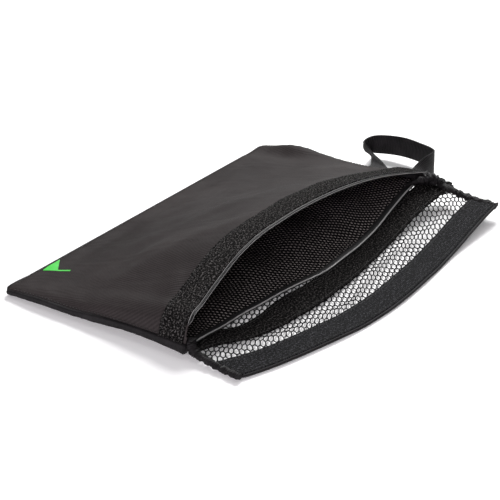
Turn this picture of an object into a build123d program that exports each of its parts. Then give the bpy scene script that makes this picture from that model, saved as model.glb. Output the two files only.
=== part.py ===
from build123d import *

import os
from math import pi, sin

# Flat golf shoe bag, lying on its open-net back with its mouth held open.
#
# Row frame, millimetres: +X runs along the mouth towards the carry strap, +Y from the mouth to the
# closed end, +Z up. The origin is the centre of the bag body's resting face. The bag is three sheets
# sewn together on three sides (net back, fine mesh divider, woven front), a flap that carries the
# net on past the mouth to a hook tape, and a webbing carry loop sewn into one side seam.

# Bag body
HALF_WIDTH = 186.0  # the sheets end here, and the side bindings start
HALF_DEPTH = 97.0  # mouth line at -Y, closed end at +Y
SHEET_END_Y = 95.0
NET_T = 1.0
DIVIDER_BOTTOM = 4.0
DIVIDER_T = 1.5
FRONT_T = 1.0

# Bound edges
BINDING_T = 0.6
SIDE_BINDING_W = 8.0
SIDE_BINDING_H = 8.0
SIDE_BINDING_R = 2.5
END_BINDING_W = 4.0
END_BINDING_H = 7.0
END_BINDING_R = 1.8
HEM_W = 8.0
LIP_BINDING_W = 2.0
SIDES = {"near": -1, "far": 1}  # the carry strap is on the far side

# The far binding stands up under the carry strap, and slopes down towards the closed end.
STRAP_SEAM_H = 14.0
SLOPE_Y = (-18.0, 30.0)

# Hook and loop tapes, and the thread rows that hold them
TAPE_W = 25.0
TAPE_T = 1.8
THREAD_W = 0.8
THREAD_T = 0.3
THREAD_INSET = 2.5
SEAM_ROW_INSET = 3.0  # from a side binding's inner edge
SEAM_ROW_END = 4.0

# Front sheet: an arch over the mouth that runs down to the closed end
LIP_Y = -86.0
EDGE_Z = 6.4  # underside of the sheet along its sewn sides
MOUTH_RISE = 54.0
ARCH_SKEW = 0.736  # below 1 moves the crown towards -X
ARCH_FULLNESS = 0.7  # below 1 makes the arch's shoulders fuller
ARCH_POINTS = 17
SHEET_SPAN_Y = [-30.0, 5.0, 40.0, 70.0]  # slices between the tape and the closed end

# Mouth tape, on the net between the mouth and the fold
MOUTH_TAPE_HALF = 182.0
MOUTH_TAPE_END_Y = -114.0  # outer edge at the tape's two ends
MOUTH_TAPE_CROWN_Y = -129.3
CROWN_X = -10.0  # where the bowed tapes reach furthest out

# Flap
FOLD_Y = -130.0  # the crease, along the outer edge of the mouth tape
FOLD_GAP = 0.3
FLAP_HALF_WIDTH = 179.0
FLAP_SIDE_W = 6.0
FLAP_CROWN_Y = -186.0
FLAP_END_Y = {"near": -158.0, "far": -172.0}
FLAP_EDGE_W = 2.0
FLAP_EDGE_H = 3.2

# Carry strap: a standing loop of webbing whose two ends lie flat on the far seam
STRAP_W = 20.0
STRAP_T = 1.6
STRAP_ROOT_X = 195.6
SEWN_END_X = 194.0
SEWN_END_L = 7.0
TAB_T = 1.2
TONGUE_L = 9.8
STRAP_BEND_X = 203.6  # where a leg turns from flat to upright
LEG_Y = {"near": -81.0, "far": -34.0}
LOOP_CORNERS = [(237.0, -77.0), (249.0, -32.0), (240.0, -2.0)]
LOOP_R = 6.0

# Bar tacks
TACK_L = 7.0
TACK_W = 2.0
TACK_T = 0.6

# Pennant mark near the closed end
MARK_AT = Location((-142.0, 81.0, 0), (0, 0, 20))
MARK_L = 24.0
MARK_H = 11.0
POLE_L = 18.0
POLE_W = 1.6
MARK_T = 0.4


def front_z(x, y):
    """Underside of the front sheet: an arch that is full at the lip and flat at the closed end."""
    along = (SHEET_END_Y - y) / (SHEET_END_Y - LIP_Y)
    across = min(max((x + HALF_WIDTH) / (2 * HALF_WIDTH), 0.0), 1.0) ** ARCH_SKEW
    rise = MOUTH_RISE * sin(along * pi / 2) ** 1.25
    return EDGE_Z + rise * max(sin(across * pi), 0.0) ** ARCH_FULLNESS


def arch_slice(y, lift, thickness):
    """A slice of the front sheet's arch at y, starting lift above its underside."""
    step = 2 * HALF_WIDTH / (ARCH_POINTS - 1)
    low = []
    for i in range(ARCH_POINTS):
        x = -HALF_WIDTH + step * i
        low.append((x, front_z(x, y) + lift))
    high = [(x, z + thickness) for x, z in low]
    with BuildSketch(Plane.XZ.offset(-y)) as band:
        with BuildLine():
            Spline(*low)
            Line(low[-1], high[-1])
            Spline(*reversed(high))
            Line(high[0], low[0])
        make_face()
    return band.sketch


def arch_sheet(stations, lift, thickness):
    """A thin sheet through the arch's slices, straight from one station to the next."""
    loft([arch_slice(y, lift, thickness).face() for y in stations], ruled=True)


def slab(x_range, y_range, z_range):
    """A box that spans the three ranges."""
    centre = [(low + high) / 2 for low, high in (x_range, y_range, z_range)]
    with Locations(tuple(centre)):
        Box(x_range[1] - x_range[0], y_range[1] - y_range[0], z_range[1] - z_range[0])


def bowed_band(half, near_y, crown_y, far_y, width, bottom):
    """A band whose outer edge is an arc through (-half, near_y), the crown and (half, far_y)."""
    with BuildSketch(Plane.XY.offset(bottom)) as band:
        with BuildLine():
            ThreePointArc((-half, near_y), (CROWN_X, crown_y), (half, far_y))
            Line((half, far_y), (half, far_y + width))
            ThreePointArc((half, far_y + width), (CROWN_X, crown_y + width), (-half, near_y + width))
            Line((-half, near_y + width), (-half, near_y))
        make_face()
    return band.sketch


def sewn_rows(half, near_y, crown_y, far_y):
    """The two rows of thread along a bowed tape."""
    for inset in (THREAD_INSET, TAPE_W - THREAD_INSET - THREAD_W):
        row = bowed_band(
            half - SEAM_ROW_END, near_y + inset, crown_y + inset, far_y + inset, THREAD_W,
            NET_T + TAPE_T,
        )
        extrude(row, amount=THREAD_T)


os.makedirs("parts", exist_ok=True)

# Bag body: the three sheets

with BuildPart() as back_net:
    slab((-HALF_WIDTH, HALF_WIDTH), (FOLD_Y, SHEET_END_Y), (0, NET_T))
back_net.part.label = "back_net"
export_step(back_net.part, "parts/back_net.step")

with BuildPart() as divider_mesh:
    slab(
        (-HALF_WIDTH, HALF_WIDTH), (-HALF_DEPTH, SHEET_END_Y),
        (DIVIDER_BOTTOM, DIVIDER_BOTTOM + DIVIDER_T),
    )
divider_mesh.part.label = "divider_mesh"
export_step(divider_mesh.part, "parts/divider_mesh.step")

front_stations = [LIP_Y, LIP_Y + TAPE_W, *SHEET_SPAN_Y, SHEET_END_Y]
with BuildPart() as front_panel:
    arch_sheet(front_stations, 0, FRONT_T)
front_panel.part.label = "front_panel"
export_step(front_panel.part, "parts/front_panel.step")

# Bag body: bound edges

# The divider's hem is folded tape, a U around the sheet's edge.
with BuildPart() as divider_hem:
    with BuildSketch(Plane.YZ.offset(-HALF_WIDTH)):
        with Locations((-HALF_DEPTH, DIVIDER_BOTTOM + DIVIDER_T / 2)):
            Rectangle(HEM_W, DIVIDER_T + 2 * BINDING_T)
            Rectangle(HEM_W, DIVIDER_T, align=(Align.MIN, Align.CENTER), mode=Mode.SUBTRACT)
    extrude(amount=2 * HALF_WIDTH)
divider_hem.part.label = "divider_hem"
export_step(divider_hem.part, "parts/divider_hem.step")

with BuildPart() as front_lip_binding:
    extrude(
        arch_slice(LIP_Y, -BINDING_T, FRONT_T + 2 * BINDING_T), amount=LIP_BINDING_W, dir=(0, -1, 0)
    )
front_lip_binding.part.label = "front_lip_binding"
export_step(front_lip_binding.part, "parts/front_lip_binding.step")

with BuildPart() as near_side_binding:
    outer_x = -HALF_WIDTH - SIDE_BINDING_W
    slab((outer_x, -HALF_WIDTH), (-HALF_DEPTH, SHEET_END_Y), (0, SIDE_BINDING_H))
    outer_face = near_side_binding.faces().sort_by(Axis.X)[0]
    fillet(outer_face.edges().filter_by(Axis.Y), SIDE_BINDING_R)
near_side_binding.part.label = "near_side_binding"
export_step(near_side_binding.part, "parts/near_side_binding.step")

with BuildPart() as far_side_binding:
    with BuildSketch(Plane.YZ.offset(HALF_WIDTH)):
        with BuildLine():
            Polyline(
                (-HALF_DEPTH, 0), (SHEET_END_Y, 0), (SHEET_END_Y, SIDE_BINDING_H),
                (SLOPE_Y[1], SIDE_BINDING_H), (SLOPE_Y[0], STRAP_SEAM_H),
                (-HALF_DEPTH, STRAP_SEAM_H), close=True,
            )
        make_face()
    extrude(amount=SIDE_BINDING_W)
    outer_face = far_side_binding.faces().sort_by(Axis.X)[-1]
    fillet(outer_face.edges().sort_by(Axis.Z)[0], SIDE_BINDING_R)
far_side_binding.part.label = "far_side_binding"
export_step(far_side_binding.part, "parts/far_side_binding.step")

with BuildPart() as closed_end_binding:
    end_half = HALF_WIDTH + SIDE_BINDING_W
    slab((-end_half, end_half), (SHEET_END_Y, SHEET_END_Y + END_BINDING_W), (0, END_BINDING_H))
    outer_face = closed_end_binding.faces().sort_by(Axis.Y)[-1]
    fillet(outer_face.edges().filter_by(Axis.X), END_BINDING_R)
closed_end_binding.part.label = "closed_end_binding"
export_step(closed_end_binding.part, "parts/closed_end_binding.step")

# Tapes on the body

with BuildPart() as front_loop_tape:
    arch_sheet(front_stations[:2], FRONT_T, TAPE_T)
front_loop_tape.part.label = "front_loop_tape"
export_step(front_loop_tape.part, "parts/front_loop_tape.step")

mouth_arc = (MOUTH_TAPE_END_Y, MOUTH_TAPE_CROWN_Y, MOUTH_TAPE_END_Y)
with BuildPart() as mouth_loop_tape:
    extrude(bowed_band(MOUTH_TAPE_HALF, *mouth_arc, TAPE_W, NET_T), amount=TAPE_T)
mouth_loop_tape.part.label = "mouth_loop_tape"
export_step(mouth_loop_tape.part, "parts/mouth_loop_tape.step")

# Thread: rows of lockstitch along the tapes and the three bound seams

# The front tape's rows are upright slabs, cut down to a film over the arched tape.
with BuildPart() as row_slabs:
    row_half = HALF_WIDTH - SEAM_ROW_END
    for row_y in (LIP_Y + THREAD_INSET, LIP_Y + TAPE_W - THREAD_INSET):
        slab(
            (-row_half, row_half), (row_y - THREAD_W / 2, row_y + THREAD_W / 2),
            (0, EDGE_Z + 2 * MOUTH_RISE),
        )

with BuildPart() as front_tape_thread:
    arch_sheet(front_stations[:2], FRONT_T + TAPE_T, THREAD_T)
    add(row_slabs.part, mode=Mode.INTERSECT)
front_tape_thread.part.label = "front_tape_thread"
export_step(front_tape_thread.part, "parts/front_tape_thread.step")

with BuildPart() as mouth_tape_thread:
    sewn_rows(MOUTH_TAPE_HALF, *mouth_arc)
mouth_tape_thread.part.label = "mouth_tape_thread"
export_step(mouth_tape_thread.part, "parts/mouth_tape_thread.step")

# The far row starts where the binding is level again.
with BuildPart() as side_seam_thread:
    row_starts = {"near": -HALF_DEPTH + SEAM_ROW_END, "far": SLOPE_Y[1] + 1}
    for side, sign in SIDES.items():
        row_x = sign * (HALF_WIDTH + SEAM_ROW_INSET)
        slab(
            (row_x - THREAD_W / 2, row_x + THREAD_W / 2),
            (row_starts[side], SHEET_END_Y - SEAM_ROW_END),
            (SIDE_BINDING_H, SIDE_BINDING_H + THREAD_T),
        )
side_seam_thread.part.label = "side_seam_thread"
export_step(side_seam_thread.part, "parts/side_seam_thread.step")

with BuildPart() as closed_end_thread:
    slab(
        (-HALF_WIDTH, HALF_WIDTH), (SHEET_END_Y + THREAD_W, SHEET_END_Y + 2 * THREAD_W),
        (END_BINDING_H, END_BINDING_H + THREAD_T),
    )
closed_end_thread.part.label = "closed_end_thread"
export_step(closed_end_thread.part, "parts/closed_end_thread.step")

# A bar tack locks each corner of the mouth, where a side binding ends.
with BuildPart() as mouth_corner_tacks:
    for side, seam_top in (("near", SIDE_BINDING_H), ("far", STRAP_SEAM_H)):
        tack_x = SIDES[side] * (HALF_WIDTH + SIDE_BINDING_W / 2)
        slab(
            (tack_x - TACK_L / 2, tack_x + TACK_L / 2),
            (THREAD_W - HALF_DEPTH, THREAD_W + TACK_W - HALF_DEPTH), (seam_top, seam_top + TACK_T),
        )
mouth_corner_tacks.part.label = "mouth_corner_tacks"
export_step(mouth_corner_tacks.part, "parts/mouth_corner_tacks.step")

# The printed pennant is an upright prism of its outline, cut down to a film on the front sheet.
with BuildPart() as pennant_prism:
    with BuildSketch():
        with Locations(MARK_AT):
            Polygon(
                (-MARK_L / 2, 0), (MARK_L / 2, MARK_H / 2), (MARK_L / 2, -MARK_H / 2), align=None
            )
            with Locations((MARK_L / 2, MARK_H / 2)):
                Rectangle(POLE_W, POLE_L, align=(Align.MIN, Align.MAX))
    extrude(amount=EDGE_Z + MOUTH_RISE)

with BuildPart() as pennant_mark:
    arch_sheet(front_stations[-2:], FRONT_T, MARK_T)
    add(pennant_prism.part, mode=Mode.INTERSECT)
pennant_mark.part.label = "pennant_mark"
export_step(pennant_mark.part, "parts/pennant_mark.step")

# Flap

with BuildPart() as flap_net:
    with BuildSketch():
        with BuildLine():
            near_end = (-FLAP_HALF_WIDTH, FLAP_END_Y["near"])
            far_end = (FLAP_HALF_WIDTH, FLAP_END_Y["far"])
            ThreePointArc(near_end, (CROWN_X, FLAP_CROWN_Y), far_end)
            Polyline(
                far_end, (FLAP_HALF_WIDTH, FOLD_Y - FOLD_GAP), (-FLAP_HALF_WIDTH, FOLD_Y - FOLD_GAP),
                near_end,
            )
        make_face()
    extrude(amount=NET_T)
flap_net.part.label = "flap_net"
export_step(flap_net.part, "parts/flap_net.step")

flap_arc = (FLAP_END_Y["near"], FLAP_CROWN_Y, FLAP_END_Y["far"])
with BuildPart() as flap_hook_tape:
    extrude(bowed_band(FLAP_HALF_WIDTH, *flap_arc, TAPE_W, NET_T), amount=TAPE_T)
flap_hook_tape.part.label = "flap_hook_tape"
export_step(flap_hook_tape.part, "parts/flap_hook_tape.step")

with BuildPart() as flap_tape_thread:
    sewn_rows(FLAP_HALF_WIDTH, *flap_arc)
flap_tape_thread.part.label = "flap_tape_thread"
export_step(flap_tape_thread.part, "parts/flap_tape_thread.step")

with BuildPart() as flap_edge_binding:
    edge_arc = [y - FLAP_EDGE_W for y in flap_arc]
    extrude(bowed_band(FLAP_HALF_WIDTH, *edge_arc, FLAP_EDGE_W, 0), amount=FLAP_EDGE_H)
flap_edge_binding.part.label = "flap_edge_binding"
export_step(flap_edge_binding.part, "parts/flap_edge_binding.step")

for side, sign in SIDES.items():
    with BuildPart() as flap_side_binding:
        slab(
            sorted((sign * FLAP_HALF_WIDTH, sign * (FLAP_HALF_WIDTH + FLAP_SIDE_W))),
            (FLAP_END_Y[side] - FLAP_EDGE_W, FOLD_Y - FOLD_GAP), (0, FLAP_EDGE_H),
        )
    flap_side_binding.part.label = f"flap_{side}_side_binding"
    export_step(flap_side_binding.part, f"parts/flap_{side}_side_binding.step")

# Carry strap

with BuildPart() as carry_strap:
    with BuildSketch():
        with BuildLine():
            FilletPolyline(
                (STRAP_BEND_X, LEG_Y["near"]), *LOOP_CORNERS, (STRAP_BEND_X, LEG_Y["far"]),
                radius=LOOP_R,
            )
        trace(line_width=STRAP_T)
    extrude(amount=STRAP_W)
    for leg_y in LEG_Y.values():
        slab(
            (STRAP_ROOT_X, STRAP_ROOT_X + TONGUE_L), (leg_y - STRAP_W / 2, leg_y + STRAP_W / 2),
            (STRAP_SEAM_H, STRAP_SEAM_H + TAB_T),
        )
carry_strap.part.label = "carry_strap"
export_step(carry_strap.part, "parts/carry_strap.step")

with BuildPart() as strap_sewn_ends:
    for leg_y in LEG_Y.values():
        slab(
            (SEWN_END_X - SEWN_END_L, SEWN_END_X), (leg_y - STRAP_W / 2, leg_y + STRAP_W / 2),
            (STRAP_SEAM_H, STRAP_SEAM_H + TAB_T),
        )
strap_sewn_ends.part.label = "strap_sewn_ends"
export_step(strap_sewn_ends.part, "parts/strap_sewn_ends.step")

with BuildPart() as strap_bar_tacks:
    tack_top = STRAP_SEAM_H + TAB_T + TACK_T
    for leg_y in LEG_Y.values():
        slab(
            (SEWN_END_X - TACK_W - 1, SEWN_END_X - 1),
            (leg_y - STRAP_W / 2 + 1.5, leg_y + STRAP_W / 2 - 1.5),
            (tack_top - TACK_T, tack_top),
        )
strap_bar_tacks.part.label = "strap_bar_tacks"
export_step(strap_bar_tacks.part, "parts/strap_bar_tacks.step")
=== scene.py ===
"""Flat golf shoe bag with an open-net back, lying with its mouth held open and its flap turned out.

Shapes are worked out in millimetres in the CAD frame: +X along the mouth towards the carry strap,
+Y from the mouth to the closed end, +Z up. Every mesh is written in metres.
"""

import math

import bpy
import numpy as np
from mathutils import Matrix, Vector


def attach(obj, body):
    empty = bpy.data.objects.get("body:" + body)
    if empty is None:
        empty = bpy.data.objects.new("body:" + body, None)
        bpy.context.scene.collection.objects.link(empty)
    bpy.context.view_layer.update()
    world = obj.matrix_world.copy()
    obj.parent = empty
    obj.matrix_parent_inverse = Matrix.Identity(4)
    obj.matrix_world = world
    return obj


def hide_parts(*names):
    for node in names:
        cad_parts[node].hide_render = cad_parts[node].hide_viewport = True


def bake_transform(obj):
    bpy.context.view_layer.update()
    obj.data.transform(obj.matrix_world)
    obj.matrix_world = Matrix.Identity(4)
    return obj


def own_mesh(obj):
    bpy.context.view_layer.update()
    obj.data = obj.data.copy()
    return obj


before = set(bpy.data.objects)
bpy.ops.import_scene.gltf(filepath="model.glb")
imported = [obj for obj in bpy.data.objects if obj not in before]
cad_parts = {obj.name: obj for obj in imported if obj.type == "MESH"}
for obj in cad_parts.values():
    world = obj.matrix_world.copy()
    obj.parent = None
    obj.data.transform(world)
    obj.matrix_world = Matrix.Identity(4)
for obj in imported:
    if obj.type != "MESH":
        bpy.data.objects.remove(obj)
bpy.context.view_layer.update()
bpy.ops.object.select_all(action="DESELECT")


# ---------------------------------------------------------------------------------------------------
# Camera: a long lens at the near closed-end side, looking down across the mouth.

CAMERA_AZIMUTH = math.radians(-54.9)
CAMERA_ELEVATION = math.radians(26.1)
CAMERA_DISTANCE = 1.5347
CAMERA_AIM = Vector((0.0006, -0.0226, 0.0))

back = Vector(
    (
        math.sin(CAMERA_AZIMUTH) * math.cos(CAMERA_ELEVATION),
        -math.cos(CAMERA_AZIMUTH) * math.cos(CAMERA_ELEVATION),
        math.sin(CAMERA_ELEVATION),
    )
)
bpy.ops.object.camera_add(location=CAMERA_AIM + back * CAMERA_DISTANCE)
camera = bpy.context.object
camera.name = "camera"
camera.rotation_euler = (-back).to_track_quat("-Z", "Y").to_euler()
camera.data.sensor_width = 36
camera.data.lens = 122.4
camera.data.clip_end = 20
bpy.context.scene.camera = camera
bpy.context.scene.view_settings.view_transform = "Standard"


# ---------------------------------------------------------------------------------------------------
# Table and lights: a white shooting table that glows a little, a big soft key light beyond the strap's
# side that throws the shadow towards the camera, a weak one overhead, and a low fill by the camera.

TABLE_SIZE = 12.0
TABLE_GLOW = 0.15
SKY = 0.22


class Wire:
    """A socket in a material. Arithmetic on it adds Math nodes."""

    def __init__(self, tree, socket=None):
        self.tree = tree
        self.socket = socket

    def node(self, kind, settings, inputs, output=0):
        """One node: its settings first, then the values or links of its sockets."""
        made = self.tree.nodes.new("ShaderNode" + kind)
        for key, value in settings.items():
            setattr(made, key, value)
        for key, value in inputs.items():
            if isinstance(value, Wire):
                self.tree.links.new(value.socket, made.inputs[key])
            else:
                made.inputs[key].default_value = value
        return Wire(self.tree, made.outputs[output] if made.outputs else None)

    def maths(self, operation, *values):
        return self.node("Math", {"operation": operation}, dict(enumerate(values)))

    def __add__(self, other):
        return self.maths("ADD", self, other)

    def __mul__(self, other):
        return self.maths("MULTIPLY", self, other)

    def __sub__(self, other):
        return self.maths("SUBTRACT", self, other)

    def __rsub__(self, other):
        return self.maths("SUBTRACT", other, self)

    __radd__ = __add__
    __rmul__ = __mul__

    def sine(self):
        return self.maths("SINE", self)

    def step(self, low, high):
        """0 up to low, 1 from high, and smooth between them."""
        ends = {"From Min": low, "From Max": high}
        return self.node("MapRange", {"interpolation_type": "SMOOTHSTEP"}, {"Value": self, **ends})

    def tint(self, dark, light):
        """A colour between dark at 0 and light at 1."""
        return self.node("Mix", {"data_type": "RGBA"}, {0: self, 6: (*dark, 1), 7: (*light, 1)}, 2)

    def noise(self, scale, detail=2.0, roughness=0.5):
        ends = {"Scale": scale, "Detail": detail, "Roughness": roughness}
        return self.node("TexNoise", {}, {"Vector": self, **ends})


def material(name, pattern, bump, fixed):
    """A Principled material. pattern gives colour, roughness and height; fixed sets plain sockets."""
    made = bpy.data.materials.new(name)
    made.use_nodes = True
    made.node_tree.nodes.clear()
    uv = Wire(made.node_tree).node("TexCoord", {}, {}, 2)
    parts = [uv.node("SeparateXYZ", {}, {0: uv}, i) for i in range(2)]
    colour, roughness, height = pattern(uv, *parts)
    normal = uv.node("Bump", {}, {"Height": height, "Strength": 1.0, "Distance": bump})
    inputs = {"Base Color": colour, "Roughness": roughness, "Normal": normal, **fixed}
    shader = uv.node("BsdfPrincipled", {}, inputs)
    uv.node("OutputMaterial", {"target": "ALL"}, {"Surface": shader})
    return made


def table_top(uv, across, along):
    grain = uv.noise(40.0)
    return grain.tint((0.93, 0.93, 0.93), (0.95, 0.95, 0.95)), grain * 0.1 + 0.5, grain


bpy.ops.mesh.primitive_plane_add(size=TABLE_SIZE, location=(0, 0, -0.0002))
table = bpy.context.object
table.name = "table_top"
bpy.ops.object.transform_apply(location=True, rotation=True, scale=True)
glow = {"Emission Color": (1, 1, 1, 1), "Emission Strength": TABLE_GLOW, "Specular IOR Level": 0.2}
table.data.materials.append(material("white_table", table_top, 0.00002, glow))

world = bpy.data.worlds.new("studio")
world.use_nodes = True
world.node_tree.nodes["Background"].inputs["Color"].default_value = (1, 1, 1, 1)
world.node_tree.nodes["Background"].inputs["Strength"].default_value = SKY
bpy.context.scene.world = world


def soft_light(name, place, size, power, colour=(1, 1, 1)):
    """A square soft light that faces the bag."""
    bpy.ops.object.light_add(type="AREA", location=place)
    light = bpy.context.object
    light.name = name
    light.data.size = size
    light.data.energy = power
    light.data.color = colour
    light.rotation_euler = Vector(place).to_track_quat("Z", "Y").to_euler()


soft_light("key_light", (1.5, 0.6, 1.45), 0.9, 62)
soft_light("top_light", (-0.25, -0.2, 1.9), 1.2, 3)
soft_light("low_fill", (-1.7, -0.6, 0.55), 1.0, 27, (1.0, 0.93, 1.0))


# ---------------------------------------------------------------------------------------------------
# Open net: knitted polyester net makes the bag's back and goes on past the mouth as the flap's middle,
# with long diamond cells on the bias. The real net is one piece. Here it is two meshes of strands, one on
# each side of the fold line, so that each moves with its own body.

MM = 0.001
CLOSED_END_Y = 96.0
SIDE_X = 186.0
FOLD_Y = -130.15  # the flap turns about a line along the outer edge of the mouth tape
CELL = np.array([2.4, -3.45])  # from one cell to its neighbour in a row
ROW = np.array([-5.3, -6.1])  # and to its neighbour in the next row
CELLS_EACH_WAY = 130
ROWS_EACH_WAY = 45
STRAND = 1.32
NET_Z = 1.2
# The share of each cut that is declared as its area, because the meshes are strands and not whole cloth.
# It is a chosen value: the strands measure 0.61 of the back's cut and 0.65 of the flap's.
EDGE_W = 2.0
HOOK_TAPE_W = 25.5
HOOK_TAPE_REACH = EDGE_W + HOOK_TAPE_W  # from the flap's outer edge to the hook tape's inner edge


def curve_through(*points):
    """A smooth curve through the (place, value) points, level past its two ends."""
    at, value = np.array(sorted(points), float).T
    slope = np.gradient(value, at)

    def curve(t):
        t = np.clip(t, at[0], at[-1])
        i = np.clip(np.searchsorted(at, t) - 1, 0, len(at) - 2)
        gap = at[i + 1] - at[i]
        s = (t - at[i]) / gap
        bend = slope[i] * s * (1 - s) ** 2 - slope[i + 1] * s * s * (1 - s)
        return value[i] + (value[i + 1] - value[i]) * s * s * (3 - 2 * s) + gap * bend

    return curve


def ease(t):
    """0 below 0, 1 above 1, and smooth between them."""
    t = np.clip(t, 0, 1)
    return t * t * (3 - 2 * t)


def rumple(a, b, wavelength, seed):
    """Soft waves of about plus and minus 0.6 over the plane of a and b."""
    draw = np.random.default_rng(seed)
    total = 0
    for _ in range(7):
        turn, phase = draw.uniform(0, 2 * math.pi, 2)
        length = wavelength * draw.uniform(0.6, 1.7)
        total = total + np.sin((a * np.cos(turn) + b * np.sin(turn)) * 2 * math.pi / length + phase)
    return total / 4


# How far the bag's two sides stand off the table, along Y
far_rise = curve_through((-188, 12), (-142, 11.5), (-115, 13), (-97, 15), (-40, 10), (30, 4), (99, 1))
near_rise = curve_through((-150, 0.3), (-89, 6.5), (-37, 8.5), (0, 6), (59, 5), (99, 3))
# Outer edges of the mouth tape and of the flap's hook tape, along X
mouth_edge = curve_through(
    (-190, -102), (-159, -110), (-142, -118), (-122, -124), (-53, -133), (0, -131.5), (80, -122),
    (128, -117.5), (190, -119),
)
flap_edge = curve_through(
    (-196, -148), (-158, -162), (-117, -173), (-59, -184.5), (-10, -187), (30, -185), (110, -177.5),
    (194, -172.5),
)


def lift(x, y):
    """How far the net and what lies on it stand off the table."""
    far = far_rise(y) * ease((x - 55) / 140) ** 1.4
    return far + near_rise(y) * ease((-118 - x) / 70)


def strip_middle(x):
    """The middle of the open net between the two tapes."""
    return (mouth_edge(x) + flap_edge(x) + HOOK_TAPE_REACH) / 2


def net_top(x, y):
    """The net's height, with lengthwise creases between the two tapes."""
    middle = strip_middle(x)
    waver = 5 * np.sin(x / 31) + 3 * np.sin(x / 13 + 1)
    open_strip = ease((-104 - y) / 14)
    crease = 1.1 * np.exp(-(((y - middle - waver) / 3.2) ** 2))
    second = 0.8 * np.exp(-(((y - middle - 9 + waver * 0.6) / 2.6) ** 2)) * ease((x + 60) / 80)
    return NET_Z + lift(x, y) + (crease + second + 0.5 * rumple(x, y, 38, 3)) * open_strip


def finish_piece(name, piece, finish, slot, *nodes):
    """Names a piece, gives it its material, and says which CAD nodes it stands for. Its slot is not used."""
    piece.name = name
    piece.data.name = name
    piece.data.materials.clear()
    piece.data.materials.append(finish)
    if nodes:
        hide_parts(*nodes)
    piece.select_set(False)
    return piece


def apply_modifier(piece, kind, **settings):
    """Adds a modifier to the piece and applies it."""
    bpy.context.view_layer.objects.active = piece
    made = piece.modifiers.new(kind.lower(), kind)
    for key, value in settings.items():
        setattr(made, key, value)
    bpy.ops.object.modifier_apply(modifier=made.name)


def strand_finish(uv, across, along):
    knit = ((across + along) * 5200.0).sine()
    worn = uv.noise(160.0)
    shade = (knit * 0.2 + worn * 0.8).tint((0.004, 0.004, 0.0045), (0.016, 0.016, 0.018))
    return shade, worn * 0.2 + 0.5, knit


net_strands = material("net_strands", strand_finish, 0.0001, {"Specular IOR Level": 0.2})

corner_a = (CELL + ROW) / 3
corner_b = (2 * ROW - CELL) / 3
corner_c = (ROW - 2 * CELL) / 3
ring = [corner_a, corner_b, corner_c, -corner_a, -corner_b, -corner_c]


def knit_net(name, node, inside):
    """Knits the cells whose centres are inside into one mesh of strands."""
    points, cells = {}, []
    for i in range(-CELLS_EACH_WAY, CELLS_EACH_WAY + 1):
        for j in range(-ROWS_EACH_WAY, ROWS_EACH_WAY + 1):
            x, y = i * CELL + j * ROW
            if abs(x) > SIDE_X + 3 or not inside(x, y):
                continue
            cell = []
            for corner in ring:
                px, py = (x, y) + corner
                key = (round(px, 2), round(py, 2))
                cell.append(points.setdefault(key, len(points)))
            cells.append(cell)
    flat = np.array(list(points), float)
    # Creasing draws the rows together along the middle of the open strip
    crease_y = strip_middle(flat[:, 0]) + 5 * np.sin(flat[:, 0] / 31)
    drawn = np.sin(np.clip((flat[:, 1] - crease_y) / 11, -1, 1) * math.pi)
    flat[:, 1] -= 0.9 * drawn * ease((-100 - flat[:, 1]) / 12)
    mesh = bpy.data.meshes.new(name)
    mesh.from_pydata(np.column_stack([flat, net_top(flat[:, 0], flat[:, 1])]) * MM, [], cells)
    layer = mesh.uv_layers.new(name="UVMap")
    for loop in mesh.loops:
        layer.data[loop.index].uv = flat[loop.vertex_index] * MM
    net = bpy.data.objects.new(name, mesh)
    bpy.context.scene.collection.objects.link(net)
    net.select_set(True)
    apply_modifier(net, "WIREFRAME", thickness=STRAND * MM, use_even_offset=False, use_boundary=True)
    return finish_piece(name, net, net_strands, "open_net", node)


def in_back(x, y):
    return FOLD_Y <= y <= CLOSED_END_Y


def in_flap(x, y):
    return flap_edge(x) + 12 <= y < FOLD_Y


back_net = knit_net("back_open_net", "back_net", in_back)
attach(back_net, "bag")
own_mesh(back_net)
flap_net = knit_net("flap_open_net", "flap_net", in_flap)
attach(flap_net, "flap")
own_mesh(flap_net)


# ---------------------------------------------------------------------------------------------------
# Divider: a sheet of fine black air mesh over the net, sewn in at three sides. Its free edge at the mouth is
# turned under and topstitched, and the pale line along it is a painted highlight on the rolled edge.

DIVIDER_T = 1.1
HEM_WIDTH = 7.5
HEM_HALF = 184
hem_edge = curve_through(
    (-186, -94), (-120, -91), (-80, -94), (-40, -98.5), (-5, -103.5), (30, -103.5), (80, -99), (130, -92.5),
    (186, -88),
)


def read_points(piece):
    """The mesh's points as an array of rows."""
    points = np.zeros(len(piece.data.vertices) * 3)
    piece.data.vertices.foreach_get("co", points)
    return points.reshape(-1, 3)


def write_uv(piece, per_point):
    """Writes one UV pair per point to all its corners."""
    corners = np.zeros(len(piece.data.loops), int)
    piece.data.loops.foreach_get("vertex_index", corners)
    layer = piece.data.uv_layers[0] if piece.data.uv_layers else piece.data.uv_layers.new(name="UVMap")
    layer.data.foreach_set("uv", per_point[corners].ravel().astype(np.float32))


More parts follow.
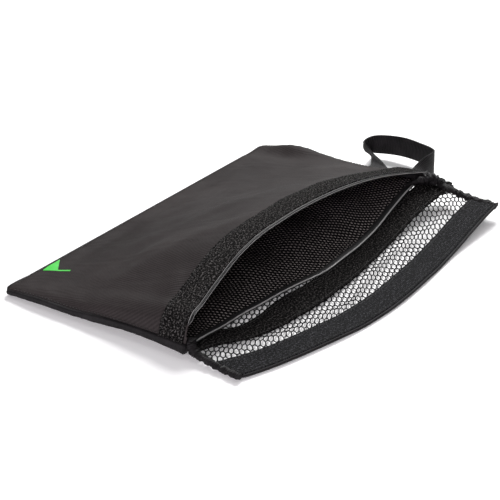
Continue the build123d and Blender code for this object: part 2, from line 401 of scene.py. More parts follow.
def lay_sheet(name, columns, rows, place, thickness=0.0):
    """A grid of cloth. place takes the shares across and along, and gives x, y, z in mm. UVs are metres."""
    bpy.ops.mesh.primitive_grid_add(x_subdivisions=columns, y_subdivisions=rows, size=1)
    piece = bpy.context.object
    piece.name = name
    flat = read_points(piece)
    across, along = flat[:, 0] + 0.5, flat[:, 1] + 0.5
    placed = np.column_stack(place(across, along)) * MM
    piece.data.vertices.foreach_set("co", placed.ravel())
    column = np.unique(np.round(across, 6), return_inverse=True)[1]
    row = np.unique(np.round(along, 6), return_inverse=True)[1]
    grid = np.zeros((row.max() + 1, column.max() + 1, 3))
    grid[row, column] = placed
    wide = np.linalg.norm(np.diff(grid, axis=1), axis=2).mean(0)
    long = np.linalg.norm(np.diff(grid, axis=0), axis=2).mean(1)
    wide, long = np.concatenate([[0], wide.cumsum()]), np.concatenate([[0], long.cumsum()])
    write_uv(piece, np.column_stack([wide[column], long[row]]))
    if thickness:
        apply_modifier(piece, "SOLIDIFY", thickness=thickness * MM, offset=-1)
    return piece


def close_up(piece):
    """Joins a tube's seam and end points, and turns its faces outward."""
    bpy.ops.object.select_all(action="DESELECT")
    piece.select_set(True)
    bpy.context.view_layer.objects.active = piece
    bpy.ops.object.mode_set(mode="EDIT")
    bpy.ops.mesh.select_all(action="SELECT")
    bpy.ops.mesh.remove_doubles(threshold=0.000002)
    bpy.ops.mesh.normals_make_consistent(inside=False)
    bpy.ops.object.mode_set(mode="OBJECT")
    bpy.ops.object.shade_smooth()
    piece.select_set(False)


def lay_tube(name, spine, section, around, along):
    """A closed tube of cloth. spine gives the line's x, y, z and section the side and up offsets in mm."""

    def place(u, v):
        line = [np.stack(spine(np.clip(v + step, 0, 1)), 1) for step in (-0.002, 0, 0.002)]
        tangent = line[2] - line[0]
        tangent /= np.linalg.norm(tangent, axis=1)[:, None]
        side = np.cross(tangent, (0, 0, 1))
        side /= np.linalg.norm(side, axis=1)[:, None]
        up = np.cross(side, tangent)
        sideways, upwards = section(u * 2 * math.pi, v)
        closing = np.sqrt(np.clip(1 - (1 - np.clip(np.minimum(v, 1 - v) / 0.012, 0, 1)) ** 2, 0, 1))
        placed = line[1] + side * (sideways * closing)[:, None] + up * (upwards * closing)[:, None]
        return placed.T

    piece = lay_sheet(name, around, along, place)
    close_up(piece)
    return piece


def divider_top(x, y):
    """The divider's height: it bellies up a little behind the mouth."""
    inside = ease((y + 97) / 50) * ease((92 - y) / 90) * ease((186 - np.abs(x)) / 90)
    belly = inside * (4.8 + 3.4 * rumple(x, y, 95, 5))
    return 4.0 + lift(x, y) + belly + 0.5 * rumple(x, y, 45, 6) * ease((90 - y) / 40)


def divider_place(u, v):
    x = SIDE_X * (2 * u - 1)
    y = hem_edge(x) + (95 - hem_edge(x)) * v
    return x, y, divider_top(x, y)


def air_mesh(uv, across, along):
    """Fine knitted holes in slanting rows, with a lit thread between them."""
    pull = uv.noise(11.0) * 0.02
    along = along + pull
    first = (across * 1700.0 - along * 1060.0).sine()
    second = (across * 1250.0 + along * 900.0).sine()
    thread = first * 0.19 + second * 0.31 + 0.5
    lit = thread.step(0.6, 0.92)
    cloudy = uv.noise(30.0)
    shade = (lit * (0.4 + cloudy * 0.8)).tint((0.003, 0.0027, 0.0026), (0.38, 0.345, 0.33))
    return shade, 0.75 - lit * 0.3, thread


divider_mesh = material("divider_air_mesh", air_mesh, 0.0006, {"Specular IOR Level": 0.1})
divider = lay_sheet("divider_sheet", 150, 80, divider_place, DIVIDER_T)
bpy.ops.object.shade_smooth()
finish_piece("divider_sheet", divider, divider_mesh, "divider_mesh", "divider_mesh")
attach(divider, "bag")
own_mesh(divider)


def hem_spine(v):
    x = HEM_HALF * (2 * v - 1)
    y = hem_edge(x) + 1.2
    return x, y, divider_top(x, y) - 0.2


def hem_section(turn, v):
    swell = 1 + 0.08 * np.sin(v * 210)
    return HEM_WIDTH / 2 * np.cos(turn), 1.25 * swell * np.sin(turn)


def hem_finish(uv, across, along):
    """Dark rib with one glossy pale line along its outer edge: the pale line is a painted highlight."""
    # line: the painted highlight along the hem's rolled outer edge
    line = across.step(0.0007, 0.0011) * (1 - across.step(0.0019, 0.0024))
    rib = (along * 5200.0 + across * 2600.0).sine()
    worn = uv.noise(90.0)
    shade = (line * (0.55 + rib * 0.2 + worn * 0.4)).tint((0.004, 0.004, 0.004), (0.5, 0.5, 0.49))
    return shade, 0.6 - line * 0.25, rib * 0.4 + line


divider_hem = material("divider_hem", hem_finish, 0.0002, {"Specular IOR Level": 0.5})
hem = lay_tube("divider_hem_cord", hem_spine, hem_section, 22, 190)
finish_piece("divider_hem_cord", hem, divider_hem, "binding_tape", "divider_hem")
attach(hem, "bag")
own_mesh(hem)


# ---------------------------------------------------------------------------------------------------
# Front: a sheet of coated nylon twill, sewn down at the closed end and both sides. The open mouth
# holds it up in a skewed arch that sinks towards the closed end, with soft dents and seam puckers.

FRONT_T = 0.7
FRONT_REACH = 2 * SIDE_X + 4  # the sheet's width, measured over its rolled sides
EDGE_TURN = 6.0  # the sheet rolls under over this width at its side seams
lip_top = curve_through(
    (-190, 14.5), (-187, 23), (-181, 29), (-162, 34), (-136, 43.5), (-105, 55), (-78, 60.5), (-40, 62.3),
    (-10, 62), (31, 59), (114, 45.5), (161, 33.5), (190, 25.5),
)
near_groove = curve_through((-97, 14), (-37, 14), (0, 12), (17, 10.3), (59, 9.4), (98, 6.3))
far_groove = curve_through((-95, 24.5), (-65, 22.5), (-43, 18), (-10, 16.5), (35, 15), (60, 12.8), (97, 7.5))


def far_pucker(y):
    """How much the far side's seam is pushed up by a fold of the front sheet."""
    return 5.6 * np.exp(-(((y - 55) / 30) ** 2))


def lip_y(x):
    return -86 - 9 * np.clip(np.abs(x) / 190, 0, 1) ** 6


def front_top(x, y):
    """The front sheet's height over the plane."""
    t = np.clip((y - lip_y(x)) / (CLOSED_END_Y - lip_y(x)), 0, 1)
    s = np.clip((x + 190) / 380, 0, 1)
    chord = near_groove(y) * (1 - s) + far_groove(y) * s
    lip_chord = near_groove(-97.0) * (1 - s) + far_groove(-95.0) * s
    full = np.clip((lip_top(x) - lip_chord) / 45, 0, 2)
    sink = 0.5 * (1 + np.cos(math.pi * t**1.05))
    free = ease(t / 0.2) * ease((1 - t) / 0.1) * ease((187 - np.abs(x)) / 40)
    dents = 2.0 * rumple(x, y, 85, 11) + 0.75 * rumple(x, y, 34, 12) + 0.18 * rumple(x, y * 0.6, 13, 15)
    seam = ease((186 - np.abs(x)) / 6) * (1 - ease((186 - np.abs(x)) / 24))
    puckers = seam * 0.7 * rumple(x * 0.4, y, 19, 13)
    end_seam = ease((CLOSED_END_Y - y) / 5) * (1 - ease((CLOSED_END_Y - y) / 20))
    puckers = puckers + end_seam * (1.2 + 0.7 * rumple(x, y * 0.4, 26, 14))
    ridge = far_pucker(y) * np.exp(-(((x - 187) / 9) ** 2))
    valley = 2.2 * np.exp(-(((x - 168) / 9) ** 2) - ((y - 62) / 28) ** 2)
    slant = (x + 150) * 0.55 - (y + 52) * 0.84
    along_slant = (x + 150) * 0.84 + (y + 52) * 0.55
    fold = 2.0 * np.exp(-((slant / 9) ** 2) - (along_slant / 34) ** 2)
    shape = chord + 45 * full ** (1 + 0.6 * t) * sink
    return shape + dents * free + puckers + ridge - valley + fold * ease(t / 0.2)


def front_skin(d, y):
    """The front sheet at d mm from its near edge, measured over its rolled sides."""
    near_roll = np.clip(d / EDGE_TURN, 0, 1)
    far_roll = np.clip((FRONT_REACH - d) / EDGE_TURN, 0, 1)
    x = d - FRONT_REACH / 2 - 5.2 * np.sin(math.pi * near_roll) + 4.4 * np.sin(math.pi * far_roll)
    tuck = 3.6 * (ease(near_roll) + ease(far_roll) - 2)
    return x, y, front_top(x, y) + tuck + 1.8


def on_front(d, y, above):
    """A point above mm off the front sheet, square to it."""
    here = np.stack(front_skin(d, y), 1)
    wide = np.stack(front_skin(d + 0.4, y), 1) - here
    long = np.stack(front_skin(d, y + 0.4), 1) - here
    normal = np.cross(wide, long)
    normal /= np.linalg.norm(normal, axis=1)[:, None]
    return (here + normal * np.reshape(above, (-1, 1))).T


def crowd_ends(u, share=0.72):
    """Shares crowded towards 0 and 1, where the cloth turns sharply."""
    return u - share * np.sin(2 * math.pi * u) / (2 * math.pi)


def front_place(u, v):
    d = FRONT_REACH * crowd_ends(u)
    start = lip_y(d - FRONT_REACH / 2)
    y = start + (CLOSED_END_Y - start) * v
    return on_front(d, y, np.zeros_like(d))


def nylon_twill(uv, across, along):
    """Fine slanting ribs, duller where the coating has rubbed, with a soft sheen."""
    ribs = (across * 2050.0 + along * 1300.0).sine()
    threads = (across * 1900.0 - along * 3600.0).sine()
    weave = ribs * 0.7 + threads * 0.3
    cloudy = uv.noise(9.0, 3.0)
    fine = uv.noise(420.0, 2.0)
    shade = (cloudy.step(0.3, 0.72) * 0.4 + weave * 0.26 + fine * 0.5).tint(
        (0.0200, 0.0172, 0.0172), (0.0455, 0.0390, 0.0385)
    )
    return shade, 0.55 + cloudy * 0.12 - weave * 0.04, weave + fine * 0.4


front_nylon = material("front_nylon_twill", nylon_twill, 0.00016, {"Specular IOR Level": 0.05})
front = lay_sheet("front_sheet", 190, 100, front_place, FRONT_T)
bpy.ops.object.shade_smooth()
finish_piece("front_sheet", front, front_nylon, "front_nylon", "front_panel")
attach(front, "bag")
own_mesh(front)


# ---------------------------------------------------------------------------------------------------
# Loop tape and lip binding: 25 mm of brushed loop tape sewn along the front's mouth edge with two
# rows of thread, and a narrow glossy binding folded over the edge itself.

TAPE_T = 1.5
TAPE_ON_FRONT = 24.6
LIP_TO_TAPE = 1.6
STITCH_PITCH = 3.4


def brushed_loops(light):
    """A felted pile with pale specks where loops catch the light."""

    def pattern(uv, across, along):
        clumps = uv.noise(500.0, 4.0, 0.75).step(0.4, 0.62)
        specks = uv.noise(640.0, 2.0, 0.6).step(0.53, 0.6)
        patches = uv.noise(60.0)
        shade = (clumps * 0.12 + specks * 0.85 + patches * 0.06 - 0.03).tint(
            (0.0015, 0.0014, 0.0014), (light, light * 0.95, light * 0.92)
        )
        return shade, clumps * 0.2 + 0.7, clumps + specks * 0.8

    return pattern


loop_tape = material("loop_tape", brushed_loops(0.165), 0.0014, {"Specular IOR Level": 0.03})
# A darker copy of the loop tape for the mouth tape: painted shade for the raised lip's shadow across it.
painted_shade_loop_tape = material("painted_shade_loop_tape", brushed_loops(0.095), 0.0014, {"Specular IOR Level": 0.02})


def stitch_rows(name, lines, pitch=STITCH_PITCH, length=2.4, thick=0.42, crosswise=False):
    """Rows of thread stitches, each one small spindle. Every line gives x, y, z in mm for shares 0 to 1."""
    bpy.ops.mesh.primitive_uv_sphere_add(segments=6, ring_count=4, radius=0.5, rotation=(0, math.pi / 2, 0))
    one = bpy.context.object
    bpy.ops.object.transform_apply(location=True, rotation=True, scale=True)
    shape = read_points(one) * (length, thick * 2, thick * 1.5)
    faces = [tuple(face.vertices) for face in one.data.polygons]
    bpy.data.objects.remove(one)
    points = []
    for line in lines:
        fine = np.stack(line(np.linspace(0, 1, 1500)), 1)
        gone = np.concatenate([[0], np.linalg.norm(np.diff(fine, axis=0), axis=1).cumsum()])
        for at in np.arange(pitch / 2, gone[-1], pitch):
            ends = [
                np.array([np.interp(at + step, gone, fine[:, k]) for k in range(3)])
                for step in (-0.3, 0.3)
            ]
            ahead = ends[1] - ends[0]
            ahead /= np.linalg.norm(ahead)
            side = np.cross((0, 0, 1), ahead)
            side /= np.linalg.norm(side)
            if crosswise:
                ahead, side = side, -ahead
            up = np.cross(ahead, side)
            points.append((ends[0] + ends[1]) / 2 + shape @ np.array([ahead, side, up]))
    mesh = bpy.data.meshes.new(name)
    size = len(shape)
    every = [tuple(i * size + c for c in face) for i in range(len(points)) for face in faces]
    mesh.from_pydata(np.concatenate(points) * MM, [], every)
    piece = bpy.data.objects.new(name, mesh)
    bpy.context.scene.collection.objects.link(piece)
    write_uv(piece, read_points(piece)[:, :2])
    close_up(piece)
    return piece


def sewn_lines(v):
    """1 under a tape's two rows of thread, a tenth of its width from each edge, and 0 between them."""
    return np.exp(-(((v - 0.1) / 0.03) ** 2)) + np.exp(-(((v - 0.9) / 0.03) ** 2))


def front_tape_place(u, v):
    d = 0.6 + (FRONT_REACH - 1.2) * crowd_ends(u)
    y = lip_y(d - FRONT_REACH / 2) + LIP_TO_TAPE + TAPE_ON_FRONT * v
    pile = 0.16 * rumple(d, y, 5.0, 21) + 0.25 * rumple(d, y, 17, 22)
    return on_front(d, y, TAPE_T + pile - 0.45 * sewn_lines(v))


front_tape = lay_sheet("front_loop_tape_strip", 300, 24, front_tape_place, TAPE_T)
bpy.ops.object.shade_smooth()
finish_piece("front_loop_tape_strip", front_tape, loop_tape, "loop_tape", "front_loop_tape")
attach(front_tape, "bag")
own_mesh(front_tape)


def thread_finish(uv, across, along):
    twist = ((across - along) * 9000.0).sine()
    worn = uv.noise(200.0)
    shade = (twist * 0.2 + worn * 0.8).tint((0.005, 0.005, 0.005), (0.045, 0.045, 0.045))
    return shade, worn * 0.2 + 0.45, twist


thread = material("bag_thread", thread_finish, 0.0001, {"Specular IOR Level": 0.4})


def front_row(inset):
    """A line on the front tape, inset mm from the lip."""

    def line(v):
        d = 3 + (FRONT_REACH - 6) * v
        y = lip_y(d - FRONT_REACH / 2) + LIP_TO_TAPE + inset
        return on_front(d, y, TAPE_T * 0.92)

    return line


front_thread = stitch_rows("front_tape_stitches", [front_row(2.5), front_row(22.2)])
finish_piece("front_tape_stitches", front_thread, thread, "thread", "front_tape_thread")
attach(front_thread, "bag")
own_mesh(front_thread)


def lip_spine(v):
    d = 5 + (FRONT_REACH - 8) * crowd_ends(v, 0.5)
    return on_front(d, lip_y(d - FRONT_REACH / 2) + 0.3, -0.2)


def lip_section(turn, v):
    ripple = 1 + 0.05 * np.sin(v * 330)
    return 2.0 * np.cos(turn) * ripple, 1.35 * np.sin(turn) + 0.35 * np.sin(2 * turn)


def lip_finish(uv, across, along):
    """Two glossy edges of a folded ribbon, painted pale as highlights, with a dark stitched line between
    them.
    """
    # The two pale bands are painted highlights on the ribbon's rolled edges.
    front = across.step(0.0001, 0.0003) * (1 - across.step(0.0006, 0.0009))
    lines = front + across.step(0.0030, 0.0033) * (1 - across.step(0.0037, 0.0040))
    cord = (along * 4200.0 + across * 2400.0).sine() * 0.5 + 0.5
    worn = uv.noise(70.0)
    shade = (lines * (cord * 0.45 + worn * 0.75)).tint((0.004, 0.004, 0.004), (0.62, 0.61, 0.60))
    return shade, 0.5 - lines * 0.15, lines + cord * 0.5


lip_ribbon = material("lip_ribbon", lip_finish, 0.0003, {"Specular IOR Level": 0.2})
lip = lay_tube("lip_ribbon_edge", lip_spine, lip_section, 20, 240)
finish_piece("lip_ribbon_edge", lip, lip_ribbon, "lip_binding", "front_lip_binding")
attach(lip, "bag")
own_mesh(lip)


# ---------------------------------------------------------------------------------------------------
# Mouth tape: a second loop tape sewn across the net just outside the mouth, for the flap to close on
# when it is folded under. It waves a little, because the net gives and the tape does not.

# The tape's width seen from above, which its waves change a little
mouth_width = curve_through(
    (-190, 25.5), (-145, 25), (-124, 23.5), (-95, 27), (-62, 32), (-35, 29.5), (27, 25), (75, 24.5),
    (190, 27.5),
)
MOUTH_TAPE_HALF = 188
MOUTH_TAPE_Z = 1.7


def mouth_tape_place(u, v):
    x = MOUTH_TAPE_HALF * (2 * u - 1)
    y = mouth_edge(x) + mouth_width(x) * v
    wave = 0.9 * rumple(x, y * 0.3, 46, 31) + 0.14 * rumple(x, y, 5.0, 32)
    z = NET_Z + lift(x, y) + MOUTH_TAPE_Z + np.maximum(wave, -0.4) - 0.4 * sewn_lines(v)
    return x, y, z


mouth_tape = lay_sheet("mouth_loop_tape_strip", 280, 24, mouth_tape_place, TAPE_T)
bpy.ops.object.shade_smooth()
# The mouth tape takes the darker copy of the loop tape, with painted shade from the lip.
finish_piece("mouth_loop_tape_strip", mouth_tape, painted_shade_loop_tape, "loop_tape", "mouth_loop_tape")
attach(mouth_tape, "bag")
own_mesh(mouth_tape)


def tape_rows(place):
    """The two sewn lines of a tape, just clear of its ends."""
    return [lambda v, share=share: place(0.012 + 0.976 * v, np.full_like(v, share)) for share in (0.1, 0.9)]


def raised(line):
    """The same line, standing a little proud of the cloth."""

    def higher(v):
        x, y, z = line(v)
        return x, y, z + 0.1

    return higher


mouth_lines = [raised(line) for line in tape_rows(mouth_tape_place)]
mouth_thread = stitch_rows("mouth_tape_stitches", mouth_lines)
finish_piece("mouth_tape_stitches", mouth_thread, thread, "thread", "mouth_tape_thread")
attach(mouth_thread, "bag")
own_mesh(mouth_thread)


# ---------------------------------------------------------------------------------------------------
# Flap: the net's free end, with a hook tape along its outer edge, a narrow folded binding round the
# edge itself, and crinkled side bindings that run back to the mouth's corners.

HOOK_TAPE_HALF = 190
FLAP_EDGE_HALF = 192


def flap_z(x, y):
    """Top of the net on the flap, under the hook tape."""
    return NET_Z + lift(x, y) + 0.35 * (rumple(x, y * 0.5, 60, 41) + 0.6)


def hook_tape_place(u, v):
    x = HOOK_TAPE_HALF * (2 * u - 1)
    y = flap_edge(x) + EDGE_W + HOOK_TAPE_W * v
    return x, y, flap_z(x, y) + 1.7 + 0.12 * rumple(x, y, 5.0, 42) - 0.35 * sewn_lines(v)


def hook_rows(uv, across, along):
    """Close rows of small stiff hooks, slightly blue, on a woven ground."""
    rows = (across * 2900.0).sine()
    hooks = (along * 3700.0 + uv.noise(300.0) * 3.0).sine()
    grain = uv.noise(540.0, 3.0, 0.75)
    points = (rows * 0.05 + hooks * 0.05 + grain).step(0.53, 0.61)
    shade = (points * 0.85 + grain * 0.12 - 0.02).tint((0.0010, 0.0010, 0.0013), (0.060, 0.060, 0.068))
    return shade, 0.62 - points * 0.2, points + grain * 0.5


hook_tape = material("hook_tape", hook_rows, 0.0012, {"Specular IOR Level": 0.04})
hooks = lay_sheet("flap_hook_tape_strip", 280, 24, hook_tape_place, TAPE_T)
bpy.ops.object.shade_smooth()
finish_piece("flap_hook_tape_strip", hooks, hook_tape, "hook_tape", "flap_hook_tape")
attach(hooks, "flap")
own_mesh(hooks)


flap_lines = [raised(line) for line in tape_rows(hook_tape_place)]
flap_thread = stitch_rows("flap_tape_stitches", flap_lines)
finish_piece("flap_tape_stitches", flap_thread, thread, "thread", "flap_tape_thread")
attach(flap_thread, "flap")
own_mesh(flap_thread)


def grosgrain(uv, across, along):
    """Ribbon with fine crosswise ribs and rubbed high spots."""
    ribs = (along * 4600.0).sine()
    worn = uv.noise(55.0, 3.0)
    fine = uv.noise(700.0)
    shade = (ribs * 0.12 + worn.step(0.35, 0.75) * 0.5 + fine * 0.35).tint(
        (0.0022, 0.0019, 0.0021), (0.021, 0.0187, 0.0205)
    )
    return shade, 0.45 + worn * 0.25, ribs * 0.6 + fine


binding_tape = material("binding_tape", grosgrain, 0.0002, {"Specular IOR Level": 0.15})


def flap_edge_spine(v):
    x = FLAP_EDGE_HALF * (2 * v - 1)
    y = flap_edge(x) + 0.8
    return x, y, flap_z(x, y) + 0.5


def flap_edge_section(turn, v):
    return 1.7 * np.cos(turn), 1.15 * np.sin(turn) + 0.3 * np.sin(2 * turn)


edge_ribbon = lay_tube("flap_edge_ribbon", flap_edge_spine, flap_edge_section, 14, 200)
finish_piece("flap_edge_ribbon", edge_ribbon, binding_tape, "binding_tape", "flap_edge_binding")
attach(edge_ribbon, "flap")
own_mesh(edge_ribbon)


def crinkled(radius_x, radius_z, seed, taper=0.0, run=90):
    """A gathered ribbon's section: a flat tube with sharp uneven crinkles."""

    def section(turn, v):
        ring_x, ring_z = np.cos(turn), np.sin(turn)
        crush = 1 + 0.30 * rumple(v * run, ring_x * 4 + ring_z * 3, 9, seed)
        crush = crush + 0.16 * rumple(v * run, turn * 2, 4, seed + 1)
        crush = crush * (1 - taper * (1 - ease(v / 0.4)))
        return radius_x * ring_x * crush, radius_z * ring_z * crush

    return section


near_run = curve_through((0, -187), (0.3, -189.5), (0.6, -191.5), (1, -194))
near_run_z = curve_through((0, 8.5), (0.3, 5.4), (0.6, 4.0), (1, 3.5))


def near_flap_spine(v):
    return near_run(v), -95 - 55 * v, near_run_z(v)


far_run = curve_through((0, 190), (0.4, 189), (1, 188.4))
far_run_z = curve_through((0, 18), (0.35, 14.5), (1, 12.5))


def far_flap_spine(v):
    return far_run(v), -113 - 59 * v, far_run_z(v)


def part_of(spine, first, last):
    """The stretch of a line between two shares of it."""
    return lambda v: spine(first + (last - first) * v)


NEAR_FOLD = 0.64  # shares of the two ribbons at which they cross the fold
FAR_FOLD = 0.29
near_side = [part_of(near_flap_spine, 0, NEAR_FOLD), part_of(near_flap_spine, NEAR_FOLD, 1)]
far_side = [part_of(far_flap_spine, 0, FAR_FOLD), part_of(far_flap_spine, FAR_FOLD, 1)]
mouth_sides = [
    lay_tube("mouth_near_side_ribbon", near_side[0], crinkled(3.6, 2.5, 51, run=58), 18, 80),
    lay_tube("mouth_far_side_ribbon", far_side[0], crinkled(3.8, 2.6, 53, run=26), 18, 50),
]
for piece in mouth_sides:
    finish_piece(piece.name, piece, binding_tape, "binding_tape")
    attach(piece, "bag")
    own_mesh(piece)
flap_sides = [
    lay_tube("flap_near_side_ribbon", near_side[1], crinkled(3.6, 2.5, 55, run=32), 18, 60),
    lay_tube("flap_far_side_ribbon", far_side[1], crinkled(3.8, 2.6, 57, run=50), 18, 100),
]
for piece, node in zip(flap_sides, ("flap_near_side_binding", "flap_far_side_binding")):
    finish_piece(piece.name, piece, binding_tape, "binding_tape", node)
    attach(piece, "flap")
    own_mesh(piece)


# ---------------------------------------------------------------------------------------------------
# Bound seams: the three sheets' raw edges are wrapped in a folded ribbon down both sides and across
# the closed end, and sewn through with one row of thread.

BAND_X = 190.3
BAND_HALF = 3.4
BAND_START = -96
BAND_RUN = 193
END_HALF = 191
END_Y = 97.0
SEAM_INSET = 3.2


def side_band(side):
    """The spine and section of a side seam's ribbon; side is -1 near and 1 far."""
    groove = near_groove if side < 0 else far_groove
    rise = near_rise if side < 0 else far_rise

    def top(y):
        return groove(y) if side < 0 else groove(y) + far_pucker(y)

    def spine(v):
        y = BAND_START + BAND_RUN * v
        low = rise(y) - 0.8
        return side * (BAND_X + 0.5 * np.sin(y / 23)), y, (top(y) - 1.0 + low) / 2

    def section(turn, v):
        y = BAND_START + BAND_RUN * v
        half_high = (top(y) - rise(y) + 0.8) / 2
        ring_x, ring_z = np.cos(turn), np.sin(turn)
        square = (np.abs(ring_x) ** 4 + np.abs(ring_z) ** 4) ** -0.25
        pucker = 1 + 0.05 * rumple(y, turn * 3, 12, 61)
        return BAND_HALF * ring_x * square * pucker, half_high * ring_z * square * pucker

    return spine, section


for side, label in ((-1, "near"), (1, "far")):
    band = lay_tube(f"{label}_side_ribbon", *side_band(side), around=24, along=170)
    finish_piece(f"{label}_side_ribbon", band, binding_tape, "binding_tape", f"{label}_side_binding")
    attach(band, "bag")
    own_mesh(band)


def end_spine(v):
    x = END_HALF * (2 * v - 1)
    return x, END_Y + 0 * x, 3.4 + 0.6 * lift(x, END_Y)


def end_section(turn, v):
    return 2.0 * np.cos(turn), (2.6 + 0.3 * np.sin(v * 47)) * np.sin(turn)


end_ribbon = lay_tube("closed_end_ribbon", end_spine, end_section, 16, 150)
finish_piece("closed_end_ribbon", end_ribbon, binding_tape, "binding_tape", "closed_end_binding")
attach(end_ribbon, "bag")
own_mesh(end_ribbon)


def side_row(side):
    def line(v):
        d = SEAM_INSET + 0 * v if side < 0 else FRONT_REACH - SEAM_INSET + 0 * v
        y = -84 + 174 * v
        return on_front(d, y, 0.25)

    return line


def end_row(v):
    d = 6 + (FRONT_REACH - 12) * v
    return on_front(d, CLOSED_END_Y - 4 + 0 * v, 0.25)


side_thread = stitch_rows("side_seam_stitches", [side_row(-1), side_row(1)])
finish_piece("side_seam_stitches", side_thread, thread, "thread", "side_seam_thread")
end_thread = stitch_rows("closed_end_stitches", [end_row])
finish_piece("closed_end_stitches", end_thread, thread, "thread", "closed_end_thread")
for piece in (side_thread, end_thread):
    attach(piece, "bag")
    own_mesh(piece)


# ---------------------------------------------------------------------------------------------------
# Mouth corners: at each end of the mouth the front, tape and bindings are bunched together and held
# by a dense bar of thread. The far corner stands up in a crumpled knot of nylon.

far_knot_x = curve_through((0, 160), (0.3, 180), (0.6, 190), (0.85, 193), (1, 190))
far_knot_y = curve_through((0, -91), (0.3, -96), (0.6, -104), (0.85, -112), (1, -119))
far_knot_z = curve_through((0, 24), (0.3, 23), (0.6, 22), (0.85, 17.5), (1, 14))


def far_knot_spine(v):
    return far_knot_x(v), far_knot_y(v), far_knot_z(v)


near_knot_x = curve_through((0, -181), (0.5, -187), (1, -189))
near_knot_y = curve_through((0, -92), (0.5, -97), (1, -105))
near_knot_z = curve_through((0, 13), (0.5, 10.5), (1, 6))


def near_knot_spine(v):
    return near_knot_x(v), near_knot_y(v), near_knot_z(v)


far_knot = lay_tube("far_corner_bunch", far_knot_spine, crinkled(6.4, 4.6, 71, 0.75), 32, 110)
near_knot = lay_tube("near_corner_bunch", near_knot_spine, crinkled(4.0, 3.0, 75), 24, 60)
for piece in (far_knot, near_knot):
    finish_piece(piece.name, piece, binding_tape, "binding_tape")
    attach(piece, "bag")
    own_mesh(piece)


def corner_bar(x, y, z, run):
    def line(v):
        return x + run * (v - 0.5), y + 0 * v, z + 0 * v

    return line


bars = [corner_bar(186, -97, 29.2, 7), corner_bar(-184, -96.5, 15.2, 7)]
corner_thread = stitch_rows("corner_bar_stitches", bars, pitch=0.55, length=3.0, thick=0.4, crosswise=True)
finish_piece("corner_bar_stitches", corner_thread, thread, "thread", "mouth_corner_tacks")
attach(corner_thread, "bag")
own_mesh(corner_thread)


# ---------------------------------------------------------------------------------------------------
# Carry strap: 20 mm polyester webbing. Both ends lie flat on the far seam under bar tacks, each leg
# twists up on edge, and the loop keeps the sharp creases that packing gave it.

WEBBING_W = 20.0
WEBBING_T = 1.5
TACK_LENGTH = 18
TACK_X = 189.8
TACK_Z = 18.2
# Centre of the webbing and the way from its lower to its upper edge, from the near end to the inner end
STRAP_RUN = [
    ((187, -81, 15), (0, 1, 0)), ((196, -81, 15), (0, 1, 0)), ((206, -80.3, 15.6), (0, 0.95, 0.3)),
    ((222, -78, 16), (0, 0.6, 0.8)), ((241, -74.8, 16), (0, 0.05, 1)), ((244.5, -73, 16), (0, 0, 1)),
    ((247, -69.5, 16), (0, 0, 1)), ((252.5, -52, 16), (0, 0, 1)), ((255, -32, 16), (0.05, 0, 1)),
    ((253, -14, 15), (0, 0, 1)), ((248.5, -4, 14.6), (-0.1, -0.06, 1)),
    ((246.9, -1.2, 14.4), (-0.2, -0.1, 1)), ((243.5, 0.6, 14.1), (-0.42, 0, 0.9)),
    ((239.6, 0.2, 14.1), (-0.64, 0.08, 0.75)),
    ((236, -2.6, 14.4), (-0.64, 0.16, 0.75)), ((220, -17.8, 15.4), (-0.4, 0.7, 0.55)),
    ((207, -33.5, 15.6), (-0.4, 0.7, 0.6)), ((198, -39.5, 15.2), (-0.1, 0.98, 0.15)),
    ((187, -41, 14.6), (0, 1, 0)),
]
places, edges = (np.array(column, float) for column in zip(*STRAP_RUN))
gaps = np.linalg.norm(np.diff(places, axis=0), axis=1)
shares = np.concatenate([[0], gaps.cumsum()]) / gaps.sum()
strap_line = [curve_through(*zip(shares, places[:, k])) for k in range(3)]
strap_edge = [curve_through(*zip(shares, edges[:, k])) for k in range(3)]


def strap_place(u, v):
    line = np.stack([curve(v) for curve in strap_line], 1)
    cross = np.stack([curve(v) for curve in strap_edge], 1)
    cross /= np.linalg.norm(cross, axis=1)[:, None]
    placed = line + cross * ((u - 0.5) * WEBBING_W)[:, None]
    placed[:, 0] += 0.35 * np.sin(u * math.pi)
    return placed.T


def webbing_weave(uv, across, along):
    """Flat ribs across the webbing in a herringbone, with rubbed edges."""
    chevron = ((across * 420.0).sine() * 1.6 + along * 3400.0).sine()
    fine = uv.noise(800.0)
    worn = uv.noise(45.0)
    shade = (chevron * 0.14 + fine * 0.35 + worn.step(0.35, 0.7) * 0.4).tint(
        (0.004, 0.0036, 0.0039), (0.036, 0.033, 0.0355)
    )
    return shade, 0.48 + worn * 0.2, chevron + fine * 0.6


webbing = material("strap_webbing", webbing_weave, 0.0003, {"Specular IOR Level": 0.15})
strap = lay_sheet("carry_webbing", 16, 260, strap_place)
apply_modifier(strap, "SOLIDIFY", thickness=WEBBING_T * MM, offset=0)
close_up(strap)
finish_piece("carry_webbing", strap, webbing, "webbing", "carry_strap", "strap_sewn_ends")
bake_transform(strap)


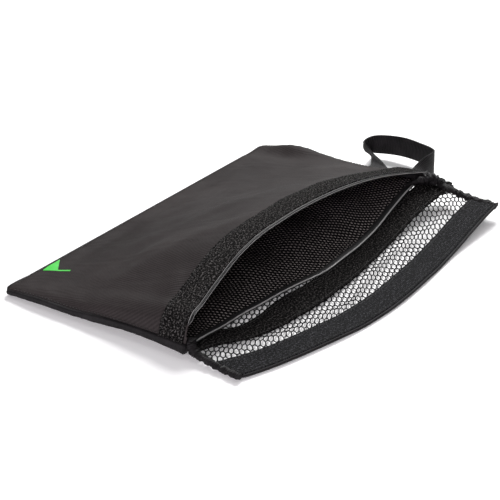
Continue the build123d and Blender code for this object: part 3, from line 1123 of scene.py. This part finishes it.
def tack_line(y):
    def line(v):
        return TACK_X + 0 * v, y - TACK_LENGTH / 2 + TACK_LENGTH * v, TACK_Z + 0 * v

    return line


tack_lines = [tack_line(-81), tack_line(-41)]
tacks = stitch_rows("strap_bar_stitches", tack_lines, pitch=0.6, length=3.0, thick=0.4, crosswise=True)
finish_piece("strap_bar_stitches", tacks, thread, "thread", "strap_bar_tacks")
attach(tacks, "bag")
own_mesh(tacks)


# ---------------------------------------------------------------------------------------------------
# Pennant mark: a small plain golf pennant in bright green heat-set film, near the closed end.

MARK_AT = (-138.5, 87.5)
MARK_TURN = math.radians(20)
FLAG_L = 21.0
FLAG_H = 13.0
POLE_L = 25.0
POLE_W = 2.2


def on_mark(a, b):
    """A point of the mark, a along the flag and b up its pole, set on the front sheet."""
    x = MARK_AT[0] + a * math.cos(MARK_TURN) - b * math.sin(MARK_TURN)
    y = MARK_AT[1] + a * math.sin(MARK_TURN) + b * math.cos(MARK_TURN)
    return on_front(x + FRONT_REACH / 2, y, np.full_like(a, 0.25))


def flag_place(u, v):
    return on_mark(FLAG_L * (u - 0.5), FLAG_H * (v - 0.5) * (1 - u * 0.96))


def pole_place(u, v):
    return on_mark(-FLAG_L / 2 - POLE_W * (1 - u), FLAG_H / 2 - POLE_L * (1 - v))


def film(uv, across, along):
    """Smooth heat-set film that takes on a trace of the twill under it."""
    weave = (across * 3300.0 + along * 2200.0).sine()
    worn = uv.noise(180.0)
    shade = (worn * 0.8 + weave * 0.1).tint((0.035, 0.50, 0.035), (0.075, 0.72, 0.085))
    return shade, worn * 0.2 + 0.4, weave


green_film = material("green_film", film, 0.00004, {"Specular IOR Level": 0.4})
flag = lay_sheet("pennant_flag", 24, 12, flag_place, 0.15)
pole = lay_sheet("pennant_pole", 4, 20, pole_place, 0.15)
finish_piece("pennant_flag", flag, green_film, "mark_print", "pennant_mark")
finish_piece("pennant_pole", pole, green_film, "mark_print")
for piece in (flag, pole):
    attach(piece, "bag")
    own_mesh(piece)
